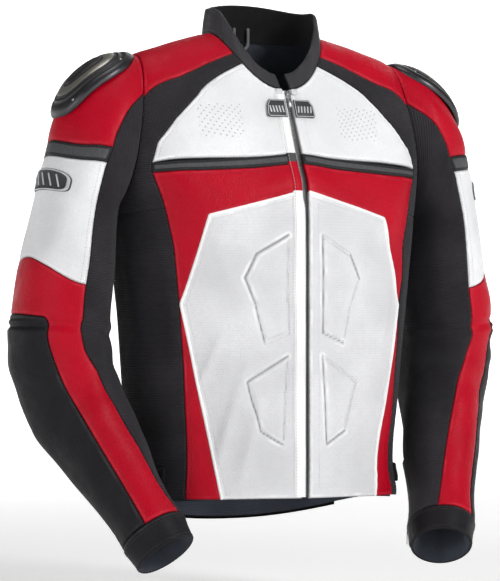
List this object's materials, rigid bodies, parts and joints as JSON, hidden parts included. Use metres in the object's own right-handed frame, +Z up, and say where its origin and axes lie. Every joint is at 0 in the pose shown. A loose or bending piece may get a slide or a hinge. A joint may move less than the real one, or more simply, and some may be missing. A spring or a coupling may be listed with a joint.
{
  "type": "leather riding jacket",
  "caption": "Stand-collar leather riding jacket with a full front zip, panelled body, hard shoulder cups, pre-bent jointed sleeves and a dropped back hem.",
  "frame": {"origin": "middle of the neck opening, at the height of the collar seam at the sides of the neck", "axes": "+Z up as the jacket is worn, -Y out of the front, +X to the wearer's left"},
  "size_m": [0.73, 0.3017, 0.7798],
  "materials": {
    "red_leather": "smooth full-grain, semi-gloss",
    "white_leather": "smooth full-grain, semi-gloss",
    "black_leather": "smooth full-grain, semi-gloss",
    "black_stretch": "matte ribbed stretch weave",
    "lining": "matte knitted mesh",
    "armour_foam": "matte foam",
    "cup_metal": "satin, with a dark rim",
    "zip_metal": "dark nickel",
    "zip_tape": "matte woven tape",
    "soft_patch": "matte moulded"
  },
  "bodies": {
    "torso": {"abdomen_panel_left": "white_leather", "abdomen_panel_right": "white_leather", "back_hem_panel": "black_leather", "back_panel": "white_leather", "back_protector_pad": "armour_foam", "back_stretch_band": "black_stretch", "back_upper_panel": "white_leather", "back_yoke": "red_leather", "body_lining": "lining", "chest_panel_left": "white_leather", "chest_panel_right": "white_leather", "chest_patch_left": "soft_patch", "chest_patch_right": "soft_patch", "chest_stripe_left": "black_leather", "chest_stripe_right": "black_leather", "collar": "black_leather", "front_placket": "white_leather", "raglan_stretch_strip_left": "black_stretch", "raglan_stretch_strip_right": "black_stretch", "red_front_panel_left": "red_leather", "red_front_panel_right": "red_leather", "shoulder_panel_left": "red_leather", "shoulder_panel_right": "red_leather", "side_stretch_panel_left": "black_stretch", "side_stretch_panel_right": "black_stretch", "zip_tape_left": "zip_tape", "zip_tape_right": "zip_tape"},
    "left_upper_sleeve": {"sleeve_head_left": "red_leather", "sleeve_band_left": "black_leather", "upper_arm_panel_left": "white_leather", "elbow_panel_left": "red_leather", "inner_arm_stretch_panel_left": "black_stretch", "shoulder_cup_left": "cup_metal", "sleeve_patch_left": "soft_patch"},
    "left_forearm": {"forearm_stripe_left": "red_leather", "forearm_panel_left": "black_leather", "cuff_left": "black_leather", "elbow_armour_left": "armour_foam", "elbow_gusset_left": "black_stretch"},
    "left_cuff_slider": {"cuff_zip_slider_left": "zip_metal"},
    "left_cuff_pull": {"cuff_zip_pull_left": "zip_metal"},
    "left_waist_strap": {"waist_strap_left": "black_leather"},
    "right_upper_sleeve": {"sleeve_head_right": "red_leather", "sleeve_band_right": "black_leather", "upper_arm_panel_right": "white_leather", "elbow_panel_right": "red_leather", "inner_arm_stretch_panel_right": "black_stretch", "shoulder_cup_right": "cup_metal", "sleeve_patch_right": "soft_patch"},
    "right_forearm": {"forearm_stripe_right": "red_leather", "forearm_panel_right": "black_leather", "cuff_right": "black_leather", "elbow_armour_right": "armour_foam", "elbow_gusset_right": "black_stretch"},
    "right_cuff_slider": {"cuff_zip_slider_right": "zip_metal"},
    "right_cuff_pull": {"cuff_zip_pull_right": "zip_metal"},
    "right_waist_strap": {"waist_strap_right": "black_leather"},
    "zip_slider": {"zip_slider": "zip_metal"},
    "zip_pull": {"zip_pull": "zip_metal"},
    "hang_loop": {"hang_loop": "soft_patch"}
  },
  "joints": [
    {"name": "left_shoulder", "type": "hinge", "parent": "torso", "child": "left_upper_sleeve", "pos_m": [0.21, 0, -0.1035], "axis": [-0.9897, 0, -0.1434], "range_deg": [0, 50]},
    {"name": "left_elbow", "type": "hinge", "parent": "left_upper_sleeve", "child": "left_forearm", "pos_m": [0.3, -0.012, -0.425], "axis": [-0.9501, 0.312, 0], "range_deg": [-25, 40], "deforming": ["elbow_gusset_left"]},
    {"name": "left_cuff_zip_slide", "type": "slide", "parent": "left_forearm", "child": "left_cuff_slider", "axis": [0.248, 0.5564, 0.793], "range_m": [0, 0.055]},
    {"name": "left_cuff_pull_swing", "type": "hinge", "parent": "left_cuff_slider", "child": "left_cuff_pull", "pos_m": [0.17518, -0.10069, -0.65262], "axis": [0.3646, 0.7048, -0.6086], "range_deg": [0, 100]},
    {"name": "left_waist_strap_lift", "type": "hinge", "parent": "torso", "child": "left_waist_strap", "pos_m": [0.17599, -0.06438, -0.56992], "axis": [0, 0, -1], "range_deg": [0, 12]},
    {"name": "right_shoulder", "type": "hinge", "parent": "torso", "child": "right_upper_sleeve", "pos_m": [-0.21, 0, -0.1035], "axis": [-0.9897, 0, 0.1434], "range_deg": [0, 50]},
    {"name": "right_elbow", "type": "hinge", "parent": "right_upper_sleeve", "child": "right_forearm", "pos_m": [-0.3, -0.012, -0.425], "axis": [-0.9501, -0.312, 0], "range_deg": [-25, 40], "deforming": ["elbow_gusset_right"]},
    {"name": "right_cuff_zip_slide", "type": "slide", "parent": "right_forearm", "child": "right_cuff_slider", "axis": [-0.248, 0.5564, 0.793], "range_m": [0, 0.055]},
    {"name": "right_cuff_pull_swing", "type": "hinge", "parent": "right_cuff_slider", "child": "right_cuff_pull", "pos_m": [-0.17518, -0.10069, -0.65262], "axis": [0.3646, -0.7048, 0.6086], "range_deg": [0, 100]},
    {"name": "right_waist_strap_lift", "type": "hinge", "parent": "torso", "child": "right_waist_strap", "pos_m": [-0.17599, -0.06438, -0.56992], "axis": [0, 0, 1], "range_deg": [0, 12]},
    {"name": "front_zip_slide", "type": "slide", "parent": "torso", "child": "zip_slider", "axis": [0, -0.3647, -0.9311], "range_m": [0, 0.12]},
    {"name": "zip_pull_swing", "type": "hinge", "parent": "zip_slider", "child": "zip_pull", "pos_m": [0, -0.08313, -0.04846], "axis": [-1, 0, 0], "range_deg": [0, 120]},
    {"name": "hang_loop_tip", "type": "hinge", "parent": "torso", "child": "hang_loop", "pos_m": [0, 0.0632, 0.052], "axis": [-1, 0, 0], "range_deg": [0, 150]}
  ]
}
